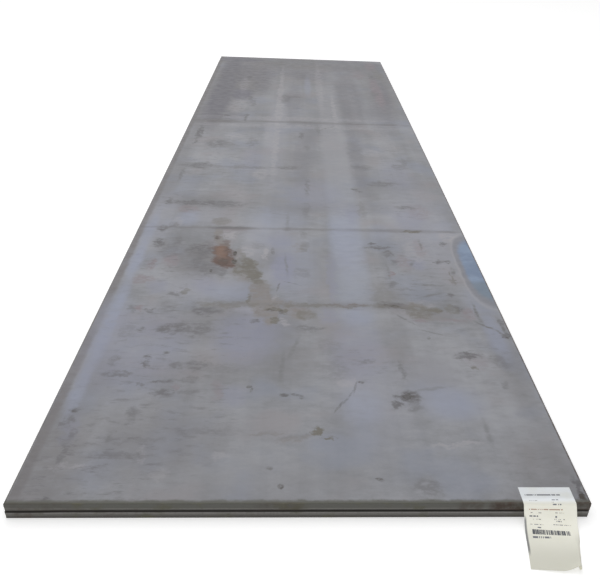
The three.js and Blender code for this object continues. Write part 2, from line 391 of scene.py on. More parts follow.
OLIVE_COVER = (0.50, 0.70, 0, 0.8)  # noise values, and how thickly the colour lies at each
RUST_COVER, SCORE_COVER = (0.56, 0.74, 0, 0.7), (0.50, 0.25, 0, 0.5)
EDGE_ROUGHNESS = 0.6

recipe, given = new_group("dirty end", {"Place": "Vector", "Colour": "Color"}, {"Colour": "Color"})
from_end = recipe.node("ShaderNodeSeparateXYZ", {"Vector": given["Place"]}, "Y")
from_end = recipe.maths("SUBTRACT", from_end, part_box("upper_plate")[0].y)
dirt = recipe.ramp(from_end, DIRT_WIDTH + DIRT_BLUR, DIRT_WIDTH - DIRT_BLUR)
recipe.node("NodeGroupOutput", {"Colour": recipe.mix(given["Colour"], END_DIRT, dirt)}, None)
dirty_end = recipe.tree


def dirtied(recipe, place, colour):
    """A colour as it is at a place, under the dirt along the labelled end."""
    sockets = {"Place": place, "Colour": colour}
    return recipe.node("ShaderNodeGroup", sockets, "Colour", node_tree=dirty_end)


inputs = {"Place": "Vector", "Height": "Float", "Line": "Float", "Land": "Color", "Broken": "Color"}
recipe, given = new_group("sheared edge", inputs, {"Colour": "Color", "Relief": "Float"})
place, broken = given["Place"], given["Broken"]
low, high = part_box("lower_plate")
below_top = recipe.maths("SUBTRACT", high.z - low.z, given["Height"])
score = recipe.noise(recipe.vector("MULTIPLY", place, SCORE_STRETCH), *SCORES)
rusty = recipe.noise(place, *EDGE_RUSTS)
film = recipe.noise(place, *FILMS)
line = recipe.maths("MULTIPLY_ADD", film, LINE_STRAY, given["Line"])
below_line = recipe.maths("SUBTRACT", below_top, line)
steel = recipe.mix(given["Land"], broken, recipe.ramp(below_line, -LINE_BLUR, LINE_BLUR))
from_line = recipe.maths("ABSOLUTE", recipe.maths("SUBTRACT", below_line, 2 * LINE_BLUR))
steel = recipe.mix(steel, BREAK_LINE, recipe.ramp(from_line, 2 * LINE_BLUR, 0, 0, LINE_STRENGTH))
parts = recipe.node("ShaderNodeSeparateXYZ", {"Vector": place}, None).outputs
near_end = recipe.ramp(recipe.maths("SUBTRACT", parts["Y"], low.y), *ROLL_SOILED)
rolled = recipe.mix(SIDE_ROLLED_OVER, ROLLED_OVER, near_end)
steel = recipe.mix(steel, rolled, recipe.ramp(below_top, ROLL_DROP, ROLL_DROP / 2))
steel = recipe.mix(steel, EDGE_OLIVE, recipe.ramp(film, *OLIVE_COVER))
steel = recipe.mix(steel, EDGE_RUST, recipe.ramp(rusty, *RUST_COVER))
steel = recipe.mix(steel, broken, recipe.ramp(score, *SCORE_COVER))
skin = dirtied(recipe, place, scaled(recipe, place)["Colour"])
steel = recipe.mix(skin, steel, recipe.ramp(below_top, 0, ROLL_DROP / 6))
dip = recipe.ramp(recipe.maths("SUBTRACT", parts["X"], low.x), *DIP_REACH, 0, SEAM_DIP)
level = recipe.maths("ADD", parts["Z"], dip)
from_seam = recipe.maths("ABSOLUTE", recipe.maths("SUBTRACT", level, high.z))
# painted shade: the seam between the plates, darkened
steel = recipe.mix(steel, SEAM_SHADE, recipe.ramp(from_seam, *SEAM_REACH))
recipe.node("NodeGroupOutput", {"Colour": steel, "Relief": score}, None)
sheared_edge = recipe.tree


def sheared(recipe, line, land, broken):
    """The sheared edge group's outputs, for the height that the mesh gives each point."""
    place = recipe.node("ShaderNodeTexCoord", (), "Object")
    height = recipe.node("ShaderNodeAttribute", (), "Fac", attribute_name="height")
    sockets = {"Place": place, "Height": height, "Line": line, "Land": land, "Broken": broken}
    return recipe.node("ShaderNodeGroup", sockets, None, node_tree=sheared_edge).outputs


# Marks on the top face, each an ellipse: how far along the plate its centre is from the labelled
# end and how far across from the left side, its half length and half width along and across, all
# in mm, how strongly it shows, and, where it is turned, its turn in degrees to the left. A class
# of marks fades out over a share of the radius, its fade.

DULL_SKIN, DULL_FADE = tint(115, 113, 114), 1.2
DULL_AREAS = [
    (120, 60, 300, 110, 0.62), (260, 330, 190, 210, 0.42), (330, 120, 110, 70, 0.35),
    (60, 600, 120, 330, 0.22), (630, 1190, 90, 70, 0.35), (80, 1440, 230, 90, 0.45),
    (640, 450, 110, 160, 0.30), (600, 100, 130, 60, 0.4), (680, 920, 100, 70, 0.35),
    (850, 1100, 160, 60, 0.3), (950, 850, 110, 90, 0.3), (700, 700, 110, 120, 0.35),
    (900, 420, 130, 190, 0.35), (1180, 1090, 130, 70, 0.30), (900, 680, 120, 90, 0.5),
    (1470, 330, 150, 120, 0.7), (1560, 200, 150, 110, 0.25), (1420, 800, 160, 130, 0.25),
    (1470, 660, 130, 110, 0.5), (700, 1470, 350, 50, 0.35), (1700, 1450, 90, 60, 0.4),
    (1800, 400, 60, 60, 0.4), (1030, 400, 50, 110, 0.3), (2150, 850, 90, 300, 0.25),
    (2150, 1150, 80, 160, 0.3), (1220, 560, 150, 60, 0.30), (2180, 200, 130, 200, 0.45),
    (2230, 600, 110, 130, 0.25), (2700, 700, 500, 160, 0.25), (3100, 700, 500, 130, 0.3),
    (3100, 1130, 700, 80, 0.25), (2700, 60, 700, 40, 0.35), (5800, 760, 320, 780, 0.5),
    (5980, 760, 90, 780, 0.3), (4500, 700, 900, 400, 0.2), (3700, 60, 350, 70, 0.5),
    (4400, 120, 800, 190, 0.6), (5150, 270, 750, 260, 0.9), (5850, 260, 260, 300, 0.7),
    (5400, 700, 600, 330, 0.5), (5000, 1400, 1000, 150, 0.5), (4700, 1130, 900, 110, 0.35),
]

DUSKY_SKIN, DUSKY_FADE = tint(109, 108, 116), 0.8
DUSKY_AREAS = [
    (4600, 150, 950, 80, 1.0), (4570, 285, 190, 95, 0.95), (5500, 150, 560, 80, 0.8),
    (5350, 260, 420, 90, 0.55), (5300, 430, 330, 110, 0.5), (3880, 280, 100, 100, 0.45),
    (5950, 200, 90, 200, 0.85), (4000, 130, 350, 70, 0.65), (4950, 440, 330, 60, 0.4),
    (4350, 700, 600, 60, 0.35), (4700, 1140, 1100, 100, 0.35), (5500, 1150, 500, 120, 0.3),
    (5400, 830, 260, 200, 0.38), (3300, 800, 450, 60, 0.25), (2900, 760, 400, 50, 0.25),
    (3000, 1090, 700, 40, 0.3), (5990, 1150, 50, 330, 0.45), (5650, 760, 300, 700, 0.2),
    (4700, 1400, 560, 70, 0.5), (4000, 1340, 450, 100, 0.4), (5900, 1400, 130, 110, 0.5),
]

BRIGHT_SKIN, BRIGHT_FADE = tint(158, 159, 169), 1.3
BRIGHT_AREAS = [
    (500, 980, 280, 110, 0.35), (560, 1180, 160, 90, 0.3), (1700, 970, 450, 60, 0.3),
    (1900, 1340, 500, 150, 0.5), (1650, 1330, 300, 100, 0.25), (2400, 1330, 350, 100, 0.3),
    (1960, 90, 300, 60, 0.35), (1230, 330, 110, 120, 0.35), (1700, 560, 200, 60, 0.3),
    (1060, 560, 40, 60, 0.4), (1370, 640, 60, 40, 0.4), (3400, 590, 900, 60, 0.3),
    (2000, 300, 130, 90, 0.25),
]

# Painted reflection: patches of light-blue sheen laid into the scale's colour.
BLUE_SHEEN, BLUE_FADE = tint(146, 151, 168), 1.2
BLUE_SHEEN_AREAS = [
    (560, 62, 190, 20, 0.55), (960, 66, 330, 26, 0.75), (1500, 62, 230, 22, 0.7),
    (1530, 55, 70, 14, 0.8), (1790, 60, 260, 24, 0.5), (430, 945, 90, 60, 0.45),
    (450, 1230, 80, 90, 0.5), (880, 1465, 160, 34, 0.6), (1010, 960, 70, 60, 0.5),
    (1720, 958, 330, 62, 0.5), (1200, 480, 80, 90, 0.5), (1960, 590, 150, 34, 0.5),
    (1960, 215, 90, 50, 0.55), (1000, 60, 150, 60, 0.4), (1420, 730, 280, 90, 0.4),
    (1960, 640, 150, 130, 0.35), (1130, 1460, 120, 60, 0.4), (1830, 1130, 90, 50, 0.4),
    (4900, 812, 330, 26, 0.35),
]

LAVENDER_SKIN, LAVENDER_FADE = tint(134, 136, 153), 1.0
LAVENDER_AREAS = [
    (760, 190, 260, 170, 0.4), (760, 950, 200, 90, 0.4), (850, 560, 170, 110, 0.6),
    (1420, 680, 160, 50, 0.65), (1330, 880, 230, 18, 0.45), (480, 540, 60, 40, 0.4),
    (1000, 860, 60, 34, 0.5), (300, 90, 60, 25, 0.3), (1230, 190, 60, 40, 0.4),
    (1990, 1290, 130, 70, 0.4), (1480, 1260, 60, 34, 0.5), (1700, 660, 100, 60, 0.45),
    (2060, 1010, 120, 34, 0.4), (2330, 820, 220, 130, 0.35), (2900, 470, 220, 60, 0.35),
    (2700, 1300, 260, 80, 0.25), (1250, 370, 70, 50, 0.4),
]

PALE_FILM, PALE_FADE = tint(160, 158, 162), 0.7
PALE_AREAS = [
    (140, 130, 14, 60, 0.35), (110, 375, 26, 22, 0.25), (190, 530, 16, 30, 0.3),
    (246, 1210, 13, 75, 0.45, 4), (560, 900, 28, 32, 0.35), (1770, 425, 60, 34, 0.6),
    (1910, 172, 70, 24, 0.35), (1790, 1440, 60, 45, 0.6), (1620, 1270, 110, 50, 0.4),
    (1510, 480, 26, 10, 0.8), (1560, 600, 60, 14, 0.6), (1130, 645, 45, 8, 0.6, -8),
    (1100, 1230, 40, 50, 0.3), (3100, 1190, 90, 60, 0.4), (960, 690, 30, 14, 0.5, 10),
    (2640, 530, 80, 45, 0.4), (3700, 150, 90, 50, 0.4), (3655, 740, 50, 620, 0.3),
    (3860, 700, 50, 620, 0.3), (4100, 597, 1450, 24, 0.5), (5000, 905, 900, 30, 0.3),
    (4190, 290, 190, 70, 0.35), (4900, 300, 240, 40, 0.3), (3500, 570, 330, 50, 0.3),
    (3400, 330, 60, 60, 0.4), (3300, 1300, 330, 60, 0.25), (4100, 1000, 500, 16, 0.4),
    (1580, 520, 70, 34, 0.5), (200, 310, 40, 12, 0.25),
]

ROSY_SCALE, ROSY_FADE = tint(132, 122, 127), 0.8
ROSY_AREAS = [
    (1290, 122, 36, 44, 0.6), (1435, 128, 60, 18, 0.7), (1480, 205, 60, 34, 0.6),
    (1052, 152, 22, 16, 0.8), (1052, 745, 22, 28, 0.7), (1385, 1135, 22, 14, 1.0),
    (1490, 1200, 90, 30, 0.45), (1650, 1290, 90, 24, 0.4), (1035, 1395, 50, 26, 0.6),
    (985, 1330, 16, 50, 0.6), (975, 1200, 10, 32, 0.7), (1095, 930, 12, 70, 0.7),
    (525, 355, 20, 10, 0.5), (2110, 1350, 100, 50, 0.35), (2080, 200, 50, 50, 0.5),
    (5430, 1265, 190, 50, 0.35), (5840, 1400, 190, 50, 0.6), (4800, 1375, 520, 40, 0.7),
    (700, 1360, 50, 40, 0.3), (1820, 450, 20, 50, 0.5), (520, 490, 60, 16, 0.35),
]

# Where things were dragged over the plate and set down on it: many small smears, side by side.
SMEAR, SMEAR_FADE = tint(101, 99, 102), 1.0
SMEARS, SMEAR_STRETCH = (0.075, 6, 0.7), (1, 3, 1)
SMEARED_AREAS = [
    (130, 200, 230, 200, 0.9), (420, 330, 330, 260, 0.75), (900, 330, 260, 250, 0.75),
    (1480, 270, 200, 210, 0.9), (1200, 250, 110, 180, 0.5), (1800, 200, 130, 150, 0.4),
    (2200, 300, 180, 300, 0.8), (2500, 420, 200, 400, 0.45), (2800, 250, 300, 260, 0.8),
    (3300, 250, 320, 240, 0.8), (3450, 760, 100, 260, 0.5), (2770, 700, 120, 130, 0.6),
    (4200, 220, 480, 240, 0.8), (5100, 280, 560, 300, 0.9), (5800, 500, 250, 520, 0.6),
    (1350, 1230, 420, 190, 0.6), (680, 980, 130, 170, 0.4), (800, 1380, 260, 110, 0.5),
    (2150, 1280, 150, 150, 0.5), (2900, 1330, 450, 150, 0.5), (3700, 1320, 320, 180, 0.4),
    (2100, 800, 120, 300, 0.4), (100, 1420, 160, 90, 0.5), (1120, 900, 120, 300, 0.4),
    (4900, 1340, 800, 160, 0.5), (4400, 700, 500, 120, 0.35),
]

GREY_SMUDGE, GREY_FADE = tint(104, 103, 106), 0.9
GREY_SMUDGES = [
    (195, 92, 50, 12, 0.6), (345, 68, 30, 12, 0.6), (405, 76, 16, 16, 0.7), (280, 100, 26, 12, 0.5),
    (195, 250, 16, 90, 0.5), (255, 290, 12, 90, 0.3), (375, 245, 42, 18, 0.5), (300, 480, 20, 100, 0.3),
    (20, 100, 12, 10, 0.9), (600, 165, 14, 40, 0.6), (540, 248, 12, 12, 0.6), (665, 246, 22, 10, 0.8),
    (706, 240, 12, 14, 0.8), (490, 320, 20, 36, 0.7), (558, 305, 10, 40, 0.8), (500, 400, 14, 34, 0.4),
    (575, 400, 20, 28, 0.45), (655, 350, 26, 24, 0.6), (655, 410, 30, 36, 0.65),
    (640, 500, 26, 70, 0.3), (900, 300, 36, 56, 0.8), (895, 385, 50, 60, 0.65),
    (1035, 400, 30, 56, 0.8), (1045, 125, 30, 14, 0.5), (1030, 196, 18, 14, 0.8),
    (890, 190, 18, 14, 0.7), (880, 140, 50, 30, 0.25), (1060, 250, 50, 30, 0.3),
    (1168, 262, 16, 34, 0.6), (680, 135, 30, 16, 0.4), (960, 585, 20, 16, 0.8),
    (1440, 110, 60, 26, 0.3), (1660, 128, 45, 26, 0.9), (1680, 205, 46, 26, 0.5),
    (1585, 180, 70, 50, 0.4), (1590, 320, 70, 60, 0.85), (1480, 320, 60, 30, 0.6),
    (1390, 365, 60, 44, 0.6), (1370, 430, 36, 26, 0.5), (1645, 350, 50, 26, 0.45),
    (1825, 120, 34, 24, 0.9), (1870, 160, 30, 20, 0.5), (1650, 560, 44, 36, 0.3),
    (1790, 770, 40, 20, 0.3), (1640, 770, 60, 20, 0.25), (1370, 760, 50, 36, 0.3),
    (640, 862, 70, 50, 0.25), (790, 850, 60, 40, 0.25), (910, 780, 18, 50, 0.6),
    (690, 985, 16, 28, 0.5), (640, 1092, 55, 12, 0.5), (60, 1100, 36, 34, 0.5),
    (440, 1052, 22, 14, 0.8), (430, 1104, 28, 18, 0.5), (487, 1096, 30, 34, 1.0),
    (545, 1430, 24, 14, 0.4), (735, 1335, 22, 44, 0.8), (700, 1445, 40, 36, 0.4),
    (962, 1505, 50, 9, 0.6), (868, 1502, 16, 10, 0.8), (1095, 1115, 24, 54, 1.0, -12),
    (1590, 1142, 30, 14, 0.8), (1650, 1095, 12, 56, 0.8), (1690, 1078, 16, 12, 0.7),
    (1500, 1160, 24, 16, 0.5), (1195, 1352, 20, 10, 0.9), (1285, 1135, 24, 16, 0.5),
    (1510, 1360, 16, 20, 0.8), (1510, 1395, 16, 12, 0.9), (1705, 1405, 22, 18, 0.9),
    (1080, 1362, 26, 12, 0.8), (40, 1510, 60, 12, 0.9), (1560, 1135, 20, 12, 0.4),
    (1230, 1185, 10, 26, 0.5), (2165, 1285, 26, 44, 0.6), (2090, 780, 90, 20, 0.3),
    (2160, 380, 46, 90, 0.6), (2168, 230, 32, 140, 0.85), (2182, 94, 44, 16, 0.9),
    (2110, 1060, 120, 20, 0.3), (2600, 95, 110, 12, 0.5), (2770, 180, 28, 105, 0.7),
    (3250, 95, 70, 12, 0.7), (3450, 100, 150, 18, 1.0), (2770, 180, 50, 80, 0.7),
    (2766, 690, 30, 70, 0.6), (2756, 450, 26, 160, 0.4), (2440, 790, 120, 12, 0.5),
    (3220, 240, 90, 80, 0.6), (3270, 450, 100, 34, 0.4), (3440, 760, 70, 16, 0.7),
    (2520, 1200, 46, 70, 0.65), (2800, 1110, 44, 60, 0.45), (2825, 1335, 50, 50, 0.4),
    (3590, 870, 90, 16, 0.4), (3905, 235, 24, 22, 0.8), (3922, 376, 30, 18, 0.9),
    (4450, 230, 16, 46, 0.6), (4511, 690, 26, 64, 0.65), (2415, 1046, 22, 18, 0.8),
    (2390, 1062, 12, 16, 0.7), (3900, 150, 340, 50, 0.35), (5000, 150, 950, 80, 0.45),
    (4300, 400, 110, 20, 0.5), (5300, 770, 80, 36, 0.4), (3860, 372, 110, 12, 0.7),
    (4430, 372, 70, 14, 0.6), (4460, 640, 120, 40, 0.5), (4700, 1350, 60, 34, 0.6),
    (5350, 1375, 120, 20, 0.6), (3640, 930, 90, 10, 0.4, -38), (3160, 790, 60, 20, 0.4),
    (5300, 740, 200, 30, 0.3), (2900, 1370, 90, 20, 0.4), (5170, 320, 90, 22, 0.5),
    (3870, 200, 60, 16, 0.5), (278, 735, 14, 60, 0.35, 20), (292, 650, 10, 56, 0.3, 6),
    (303, 803, 16, 12, 0.8), (1045, 1262, 24, 20, 0.35), (1715, 380, 46, 16, 0.6, 12),
]

SCRATCH, SCRATCH_FADE = tint(112, 112, 114), 1.5
SCRATCHES = [
    (270, 205, 22, 6, 0.7), (730, 298, 10, 9, 0.9), (1450, 692, 90, 6, 0.5, 4),
    (640, 690, 80, 8, 0.6, -2), (780, 730, 70, 7, 0.5, -14), (300, 1310, 60, 8, 0.4),
    (530, 1180, 8, 60, 0.4, 12), (1000, 1430, 36, 8, 0.6, 10), (1490, 1238, 26, 8, 0.7, -20),
    (1190, 1275, 8, 50, 0.7, 24), (1282, 1265, 8, 50, 0.8, -6), (1410, 1402, 36, 8, 0.7),
    (1690, 1300, 50, 6, 0.6), (1950, 690, 90, 8, 0.4), (1058, 1429, 60, 6, 0.9),
    (942, 1445, 43, 5, 1.0, 47), (885, 1495, 33, 5, 1.0, 34), (930, 1504, 62, 5, 0.9, 4),
    (990, 1145, 60, 4, 0.6, 40), (890, 1237, 50, 4, 0.6, 66), (1410, 1124, 70, 5, 0.5),
]

OLIVE_DUST, OLIVE_FADE = tint(110, 107, 101), 0.6
OLIVE_STAINS = [
    (1440, 535, 70, 34, 0.95, 10), (1370, 550, 80, 34, 0.95, 24), (1310, 570, 60, 30, 0.8, 24),
    (1400, 500, 60, 30, 0.8), (1450, 490, 60, 26, 0.6), (1050, 650, 14, 40, 0.9),
    (1040, 692, 20, 12, 0.9), (960, 658, 26, 14, 1.0), (1010, 775, 36, 36, 0.5),
    (1085, 480, 22, 130, 0.45), (1090, 840, 14, 230, 0.5), (1050, 1205, 56, 50, 0.65),
    (1060, 1262, 22, 30, 0.9), (1075, 1340, 36, 26, 0.5), (303, 803, 22, 16, 1.0),
    (272, 838, 6, 22, 0.8, 20), (1180, 300, 28, 14, 0.5), (1925, 372, 46, 46, 0.45),
    (1630, 770, 36, 22, 0.25), (1350, 1390, 70, 7, 0.5), (660, 1340, 12, 12, 0.6),
    (1090, 1100, 14, 60, 0.6, -12), (1845, 1280, 16, 44, 0.9), (1130, 556, 50, 10, 0.7),
    (1520, 510, 60, 14, 0.5, 8), (1180, 1080, 110, 40, 0.25), (5820, 760, 240, 300, 0.22),
    (5450, 1440, 200, 40, 0.3),
]

TAN_DUST, TAN_FADE = tint(128, 124, 123), 0.7
TAN_STAINS = [
    (1210, 590, 110, 36, 0.9, 10), (1250, 600, 60, 26, 0.6, 12), (1110, 605, 60, 46, 0.85),
    (1050, 625, 60, 50, 0.9), (985, 640, 55, 24, 0.8), (1020, 750, 50, 46, 0.8),
    (1110, 660, 40, 34, 0.7), (1075, 710, 36, 34, 0.6), (270, 740, 14, 56, 0.35, 20),
    (292, 650, 9, 56, 0.35, 6), (1095, 1180, 20, 60, 0.5), (1700, 390, 50, 22, 0.9, 12),
    (1790, 375, 50, 18, 0.8), (1640, 420, 30, 18, 0.8), (1000, 1230, 14, 60, 0.5),
    (1380, 515, 90, 50, 0.6, 14), (1560, 480, 60, 20, 0.6), (1640, 745, 60, 24, 0.3),
]

RUST_RED, RUST_FADE = tint(97, 80, 74), 0.6
RUST_PATCHES = [
    (1490, 425, 84, 42, 1.0, 10), (1580, 408, 62, 42, 1.0, 8), (1630, 400, 26, 34, 0.5),
    (1440, 440, 34, 30, 0.9), (1665, 425, 30, 12, 0.5, 12), (1730, 380, 30, 14, 0.25, 20),
]
RUST_ORANGE, ORANGE_FADE = tint(120, 98, 87), 1.2
ORANGE_PATCHES = [(1580, 402, 62, 24, 0.95, 6), (1540, 420, 40, 16, 0.7, 6)]
RUST_DARK, DARK_FADE = tint(72, 67, 62), 0.6
DARK_FLECKS = [
    (1478, 472, 26, 11, 0.9), (1560, 466, 24, 9, 0.9), (1470, 425, 40, 24, 0.35),
    (1095, 1105, 10, 30, 0.6, -12), (1725, 376, 20, 8, 0.6, 12), (487, 1092, 18, 22, 0.45),
    (67, 700, 9, 9, 0.65), (140, 668, 9, 9, 0.4), (93, 965, 6, 14, 0.7, -20), (565, 950, 10, 10, 0.6),
    (855, 1215, 10, 7, 0.45), (490, 700, 9, 14, 0.55), (488, 740, 7, 22, 0.5, -20),
    (476, 757, 12, 8, 0.5), (512, 598, 14, 5, 0.8, -12), (532, 588, 8, 11, 0.5, 20),
    (425, 870, 34, 4, 0.35, -24), (480, 902, 44, 4, 0.3, -28), (530, 928, 40, 4, 0.3, -12),
    (1275, 720, 5, 40, 0.35, -28), (1240, 664, 36, 5, 0.35, -8), (1590, 632, 36, 9, 0.3, 6),
    (1380, 382, 14, 6, 0.6), (860, 1503, 9, 7, 0.7), (20, 1508, 26, 9, 0.9), (1045, 640, 12, 16, 0.5),
    (1035, 680, 18, 9, 0.5), (400, 75, 7, 7, 0.4), (730, 298, 6, 6, 0.4), (1690, 1078, 8, 7, 0.2),
]

# Across the plate, where the rolls stopped or the strip was gripped.
ROLL_LINE, LINE_FADE = tint(108, 106, 108), 1.5
ROLL_LINES = [
    (1090, 700, 26, 200, 0.4), (1092, 900, 30, 150, 0.4), (1096, 1110, 24, 70, 0.7),
    (1846, 430, 18, 110, 1.0), (1842, 210, 12, 200, 0.5), (1846, 690, 18, 24, 0.7),
    (1848, 760, 14, 200, 0.5), (1852, 1180, 20, 240, 0.5), (1848, 1275, 14, 44, 0.7),
    (1852, 1440, 14, 60, 0.55), (3765, 760, 22, 790, 0.5), (3750, 190, 45, 170, 0.85),
    (3770, 760, 24, 130, 0.65), (3765, 1120, 22, 110, 0.6), (3775, 1370, 24, 60, 0.65),
]


def cover_group(name, marks, fade):
    """A group that gives how thickly marks cover a place: the most that any one of them gives.

    A mark gives its strength over the middle of its ellipse, half of it at the ellipse, and
    nothing further out. fade is the share of the radius that this takes.
    """
    left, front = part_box("upper_plate")[0].xy
    recipe, given = new_group(name, {"Place": "Vector"}, {"Cover": "Float"})
    turned = {0: given["Place"]}
    most = 0.0
    for along, across, half_along, half_across, strength, *turns in marks:
        turn = sum(turns)  # 0 where the mark gives none
        turning = Matrix.Rotation(-np.radians(turn), 3, "Z")
        if turn not in turned:
            rows = [recipe.vector("DOT_PRODUCT", given["Place"], row) for row in turning[:2]]
            turned[turn] = recipe.node("ShaderNodeCombineXYZ", enumerate(rows))
        centre = turning @ Vector((left + across * MM, front + along * MM, 0))
        from_centre = recipe.vector("SUBTRACT", turned[turn], centre)
        halves = (half_across * MM, half_along * MM, 1)
        reach = recipe.vector("LENGTH", recipe.vector("DIVIDE", from_centre, halves))
        cover = recipe.ramp(reach, 1 + fade / 2, 1 - fade / 2, 0, strength)
        most = recipe.maths("MAXIMUM", most, cover)
    recipe.node("NodeGroupOutput", {"Cover": most}, None)
    return recipe.tree


EDGE_WANDER = (0.055, 5, 0.7)  # the unevenness of every mark's edge
NOISE_MIDDLE = (0.5, 0.5, 0.5)
RAGGED, STEADY = 0.075, 0.075 / 4  # how far it pushes an edge
WEAR, WEAR_STRETCH = (0.07, 5, 0.66), (1, 2, 1)
DABS, DAB_STRETCH = (0.035, 5, 0.7), (1, 1.6, 1)
# Two values of a noise, and how thickly a mark lies at each, for each way that marks wear.
EVEN, PATCHY, MOTTLED = (0.30, 0.60, 0.75, 1.1), (0.34, 0.58, 0.25, 1.15), (0.34, 0.58, 0.55, 1.2)
SMEARY = (0.52, 0.72, 0, 0.62)

upper_face, recipe = new_material("stained mill scale and painted sheen")
place = recipe.node("ShaderNodeTexCoord", (), "Object")
scale = scaled(recipe, place)
push = recipe.noise(place, *EDGE_WANDER, output="Color", flat=True)
push = recipe.vector("SUBTRACT", push, NOISE_MIDDLE)
ragged = recipe.vector("MULTIPLY_ADD", push, (RAGGED, RAGGED, 0), place)
steady = recipe.vector("MULTIPLY_ADD", push, (STEADY, STEADY, 0), place)
ragged, steady = [recipe.vector("MULTIPLY", where, (1, 1, 0)) for where in (ragged, steady)]
worn = recipe.noise(recipe.vector("MULTIPLY", place, WEAR_STRETCH), *WEAR, flat=True)
smears = recipe.vector("MULTIPLY", place, SMEAR_STRETCH)
smears = recipe.ramp(recipe.noise(smears, *SMEARS, flat=True), *SMEARY)
dabs = recipe.noise(recipe.vector("MULTIPLY", place, DAB_STRETCH), *DABS, flat=True)
even, patchy = recipe.ramp(worn, *EVEN), recipe.ramp(dabs, *PATCHY)
mottled = recipe.ramp(dabs, *MOTTLED)

# The side strip was never under the rolls' full pressure and has stayed brown and dull.
SIDE_STRIP, STRIP_STRENGTH = tint(118, 115, 117), 0.85
STRIP_WIDTH, STRIP_BLUR = 34 * MM, 8 * MM
from_side = recipe.node("ShaderNodeSeparateXYZ", {"Vector": steady}, "X")
from_side = recipe.maths("SUBTRACT", from_side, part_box("upper_plate")[0].x)
reach = (STRIP_WIDTH + STRIP_BLUR, STRIP_WIDTH - STRIP_BLUR)
strip = recipe.ramp(from_side, *reach, 0, STRIP_STRENGTH)
skin = recipe.mix(scale["Colour"], SIDE_STRIP, recipe.maths("MULTIPLY", strip, even))

# Painted reflection: one band along the plate has a sheen, blue nearer the labelled end.
BAND_SHEEN_BLUE, BAND_SHEEN_PALE = tint(146, 151, 163), tint(147, 147, 152)
BAND_MIDDLE, BAND_HALF, BAND_BLUR = 964 * MM, 74 * MM, 24 * MM  # across
BAND_STRENGTH = 0.62
BAND_START, BAND_END = (900 * MM, 1250 * MM), (4700 * MM, 5500 * MM)  # along
BAND_PALING = (1900 * MM, 2900 * MM)  # from where it is blue to where it is pale
parts = recipe.node("ShaderNodeSeparateXYZ", {"Vector": steady}, None).outputs
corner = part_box("upper_plate")[0]
from_middle = recipe.maths("SUBTRACT", parts["X"], corner.x + BAND_MIDDLE)
from_middle = recipe.maths("ABSOLUTE", from_middle)
along = recipe.maths("SUBTRACT", parts["Y"], corner.y)
reach = (BAND_HALF + BAND_BLUR, BAND_HALF - BAND_BLUR)
band = recipe.ramp(from_middle, *reach, 0, BAND_STRENGTH)
band = recipe.maths("MULTIPLY", band, recipe.ramp(along, *BAND_START))
band = recipe.maths("MULTIPLY", band, recipe.ramp(along, *BAND_END, 1, 0))
# painted reflection: the band's sheen, blue, then paler further along
band_sheen = recipe.mix(BAND_SHEEN_BLUE, BAND_SHEEN_PALE, recipe.ramp(along, *BAND_PALING))
skin = recipe.mix(skin, band_sheen, recipe.maths("MULTIPLY", band, even))

# The classes of marks, from the lowest up. Some have ragged edges and some steady ones, and each
# lies as thickly as it has worn.
for name, colour, marks, fade, where, thickness in (
    ("dull areas", DULL_SKIN, DULL_AREAS, DULL_FADE, ragged, even),
    ("dusky areas", DUSKY_SKIN, DUSKY_AREAS, DUSKY_FADE, ragged, even),
    ("bright areas", BRIGHT_SKIN, BRIGHT_AREAS, BRIGHT_FADE, ragged, even),
    # painted reflection: the blue sheen
    ("painted blue sheen", BLUE_SHEEN, BLUE_SHEEN_AREAS, BLUE_FADE, steady, even),
    ("lavender areas", LAVENDER_SKIN, LAVENDER_AREAS, LAVENDER_FADE, ragged, even),
    ("pale areas", PALE_FILM, PALE_AREAS, PALE_FADE, ragged, patchy),
    ("rosy areas", ROSY_SCALE, ROSY_AREAS, ROSY_FADE, ragged, patchy),
    ("smeared areas", SMEAR, SMEARED_AREAS, SMEAR_FADE, ragged, smears),
    ("grey smudges", GREY_SMUDGE, GREY_SMUDGES, GREY_FADE, ragged, patchy),
    ("scratches", SCRATCH, SCRATCHES, SCRATCH_FADE, steady, patchy),
    ("roll lines", ROLL_LINE, ROLL_LINES, LINE_FADE, steady, even),
    ("tan stains", TAN_DUST, TAN_STAINS, TAN_FADE, ragged, mottled),
    ("olive stains", OLIVE_DUST, OLIVE_STAINS, OLIVE_FADE, ragged, mottled),
    ("rust", RUST_RED, RUST_PATCHES, RUST_FADE, ragged, even),
    ("orange rust", RUST_ORANGE, ORANGE_PATCHES, ORANGE_FADE, ragged, even),
    ("dark flecks", RUST_DARK, DARK_FLECKS, DARK_FADE, steady, patchy),
):
    group = cover_group(name, marks, fade)
    cover = recipe.node("ShaderNodeGroup", {"Place": where}, "Cover", node_tree=group)
    skin = recipe.mix(skin, colour, recipe.maths("MULTIPLY", cover, thickness))

skin = dirtied(recipe, steady, skin)

# A lens of painted blue sheen at the right side, darker at its near end, inside a dull rim and a
# pale border. Its outline is a superellipse, squarer than an ellipse.
LENS_CENTRE, LENS_HALVES, LENS_POWER = (1450, 1550), (355, 112), 3.0  # along and across, in mm
LENS_BORDER, LENS_RIM = tint(158, 157, 160), tint(129, 130, 137)
LENS_BLUE_SHEEN, LENS_DARK_SHEEN, LENS_BRIGHT_SHEEN = tint(119, 133, 155), tint(116, 128, 142), tint(131, 146, 168)
LENS_END, LENS_END_BLUR = -130 * MM, 30 * MM  # where it darkens, along from its centre
LENS_CLOUDS, CLOUD_REACH = (0.12, 3), (0.42, 0.62)
BORDER_COVER = (1.15, 1.05, 0, 0.4)  # shares of the outline's size, and how thickly it lies
RIM_REACH, BLUE_REACH = (1.07, 0.96), (0.93, 0.74)

